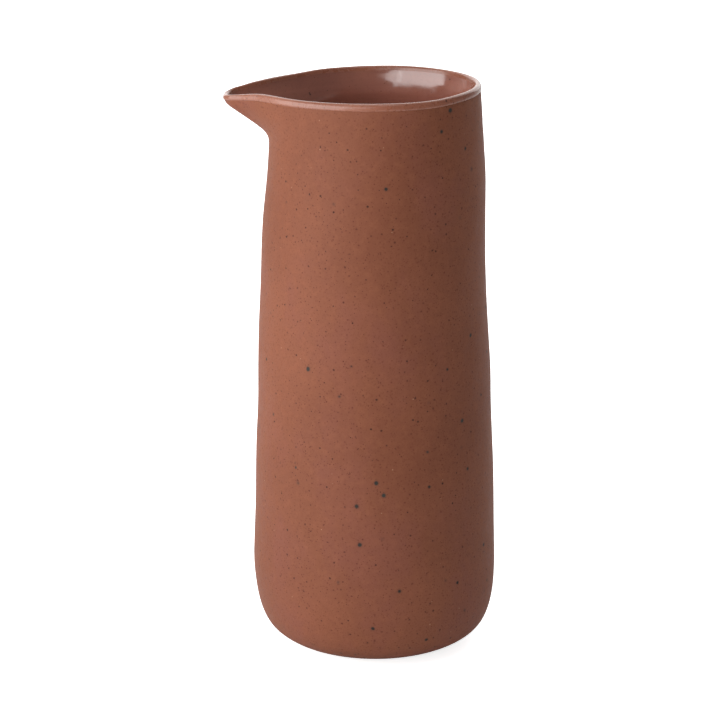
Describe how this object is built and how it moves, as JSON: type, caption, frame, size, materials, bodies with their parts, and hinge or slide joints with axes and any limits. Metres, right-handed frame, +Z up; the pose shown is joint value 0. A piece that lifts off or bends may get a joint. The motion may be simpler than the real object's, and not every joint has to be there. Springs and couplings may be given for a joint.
{
  "type": "pitcher",
  "caption": "Tall stoneware pitcher without a handle, a gently tapered round body with a short pinched pouring beak on the rim and a low foot ring.",
  "frame": {"origin": "centre of the foot ring, on the surface that the pitcher stands on", "axes": "+Z up along the body, -X towards the pouring beak"},
  "size_m": [0.111, 0.101, 0.2357],
  "materials": {
    "stoneware": "matte",
    "bare_stoneware": "matte",
    "satin_glaze": "satin",
    "gloss_glaze": "gloss",
    "lip_glaze": "gloss",
    "base_glaze": "satin"
  },
  "bodies": {
    "root": {"body_wall": "stoneware", "heel_ring": "stoneware", "spout": "stoneware", "floor_disc": "stoneware", "foot_ring": "bare_stoneware", "outer_glaze": "satin_glaze", "inner_glaze": "gloss_glaze", "lip_glaze": "lip_glaze", "base_glaze": "base_glaze"}
  },
  "joints": []
}
